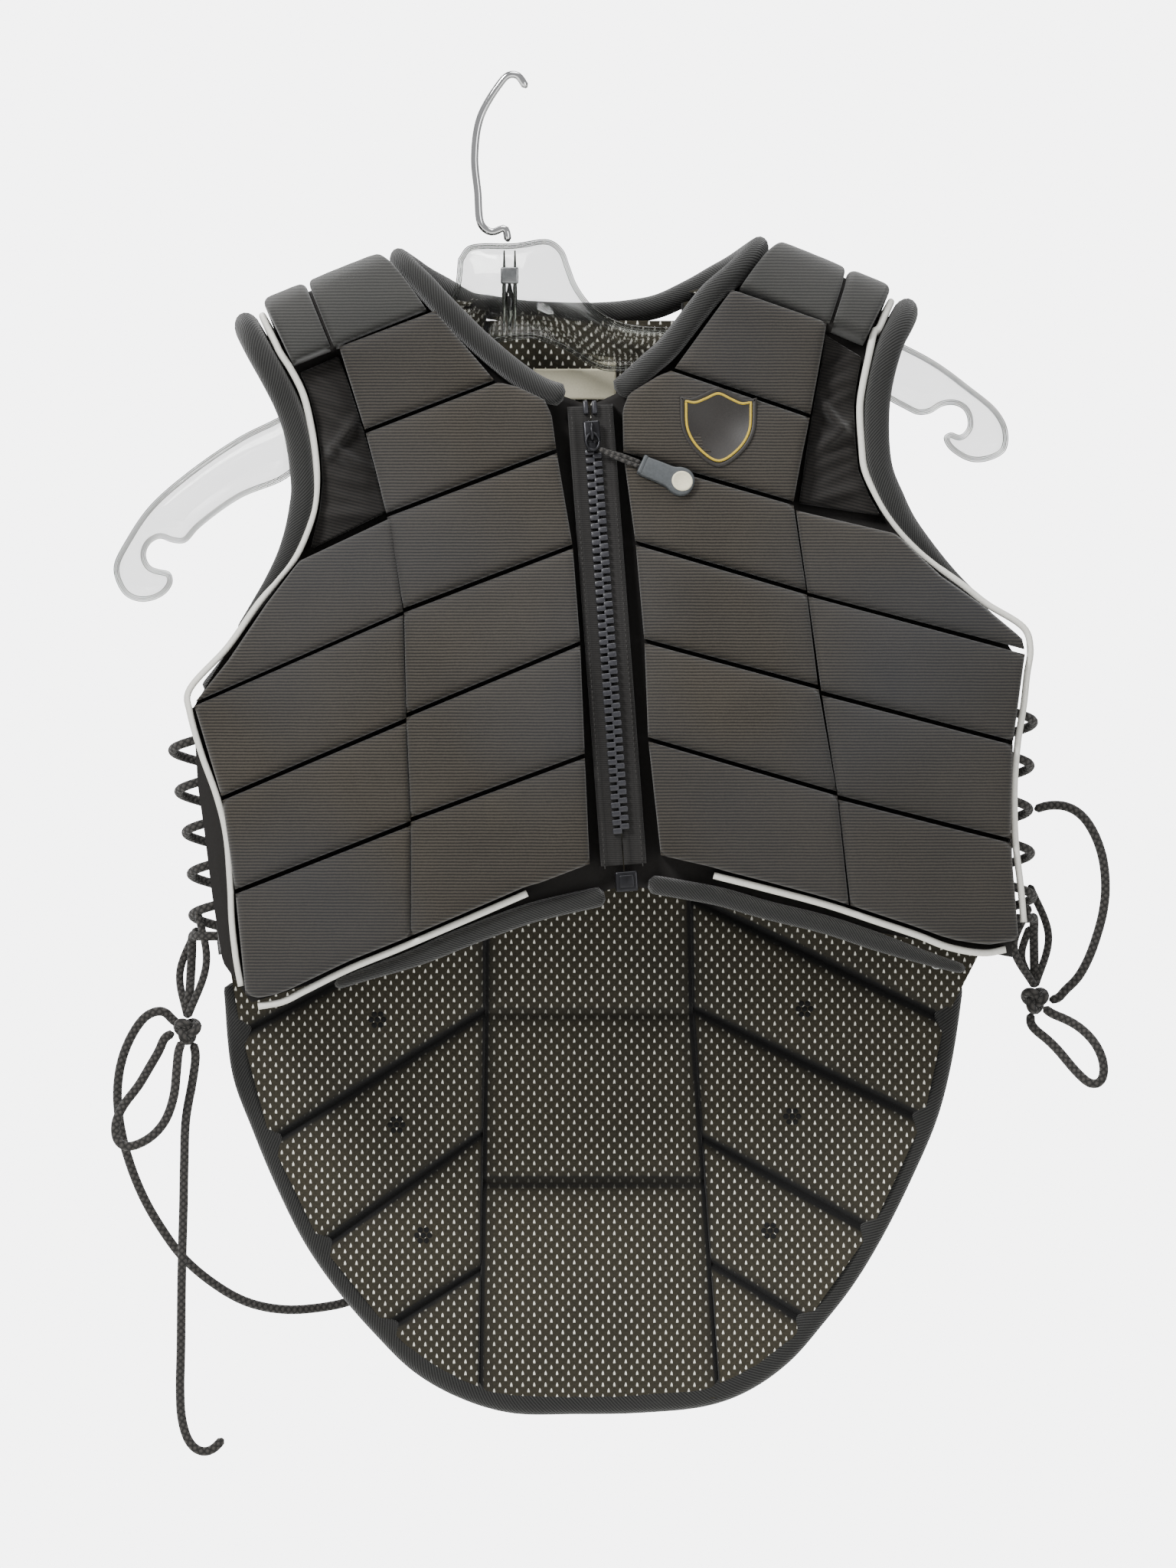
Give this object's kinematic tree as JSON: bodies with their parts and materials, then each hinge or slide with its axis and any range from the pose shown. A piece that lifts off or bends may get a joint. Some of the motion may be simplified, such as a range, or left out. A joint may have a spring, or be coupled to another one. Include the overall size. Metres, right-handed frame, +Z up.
{
  "type": "riding body protector on a clothes hanger",
  "caption": "Zipped foam body protector for riders, with quilted pads, laced sides and a long padded back, hanging from a clear clothes hanger.",
  "frame": {"origin": "the point inside the top of the hanger's hook that rests on a rail", "axes": "+Z up, -Y to the front of the vest, +X to the wearer's left"},
  "size_m": [0.4772, 0.1583, 0.6616],
  "materials": {
    "quilted_fabric": "matte",
    "shoulder_fabric": "matte",
    "lining_mesh": "matte",
    "twill_binding": "matte",
    "stretch_fabric": "matte",
    "piping": "satin",
    "zip_tape": "matte",
    "dark_metal": "satin",
    "rubber": "matte",
    "cream_patch": "matte",
    "cord": "matte",
    "clear_plastic": "gloss",
    "chrome_wire": "polished"
  },
  "bodies": {
    "root": {"pad_inner_1_right": "quilted_fabric", "pad_inner_2_right": "quilted_fabric", "pad_inner_3_right": "quilted_fabric", "pad_inner_4_right": "quilted_fabric", "pad_inner_5_right": "quilted_fabric", "pad_inner_6_right": "quilted_fabric", "pad_outer_a_right": "quilted_fabric", "pad_outer_b_right": "quilted_fabric", "pad_outer_c_right": "quilted_fabric", "pad_outer_d_right": "quilted_fabric", "pad_inner_1_left": "quilted_fabric", "pad_inner_2_left": "quilted_fabric", "pad_inner_3_left": "quilted_fabric", "pad_inner_4_left": "quilted_fabric", "pad_inner_5_left": "quilted_fabric", "pad_inner_6_left": "quilted_fabric", "pad_outer_a_left": "quilted_fabric", "pad_outer_b_left": "quilted_fabric", "pad_outer_c_left": "quilted_fabric", "pad_outer_d_left": "quilted_fabric", "back_wing_right": "quilted_fabric", "back_wing_left": "quilted_fabric", "back_spine": "quilted_fabric", "shoulder_block_inner_right": "shoulder_fabric", "shoulder_block_outer_right": "shoulder_fabric", "shoulder_block_inner_left": "shoulder_fabric", "shoulder_block_outer_left": "shoulder_fabric", "front_lining_right": "lining_mesh", "front_lining_left": "lining_mesh", "neck_roll": "twill_binding", "tail_roll": "twill_binding", "armhole_roll_right": "twill_binding", "armhole_roll_left": "twill_binding", "hem_roll_right": "twill_binding", "hem_roll_left": "twill_binding", "stretch_inset_right": "stretch_fabric", "stretch_inset_left": "stretch_fabric", "piping_edge_right": "piping", "piping_hem_right": "piping", "piping_edge_left": "piping", "piping_hem_left": "piping", "zip_band_right": "zip_tape", "zip_band_left": "zip_tape", "zip_slider": "dark_metal", "zip_bottom_box": "dark_metal", "zip_puller": "rubber", "badge": "cream_patch", "neck_label": "cream_patch", "lace_right": "cord", "lace_left": "cord", "knot_right": "cord", "knot_left": "cord", "cord_bow_loop_right": "cord", "cord_tail_end_right": "cord", "cord_swag_right": "cord", "cord_big_loop_left": "cord", "cord_bow_loop_left": "cord", "hanger_body": "clear_plastic", "hanger_hook": "chrome_wire"}
  },
  "joints": []
}
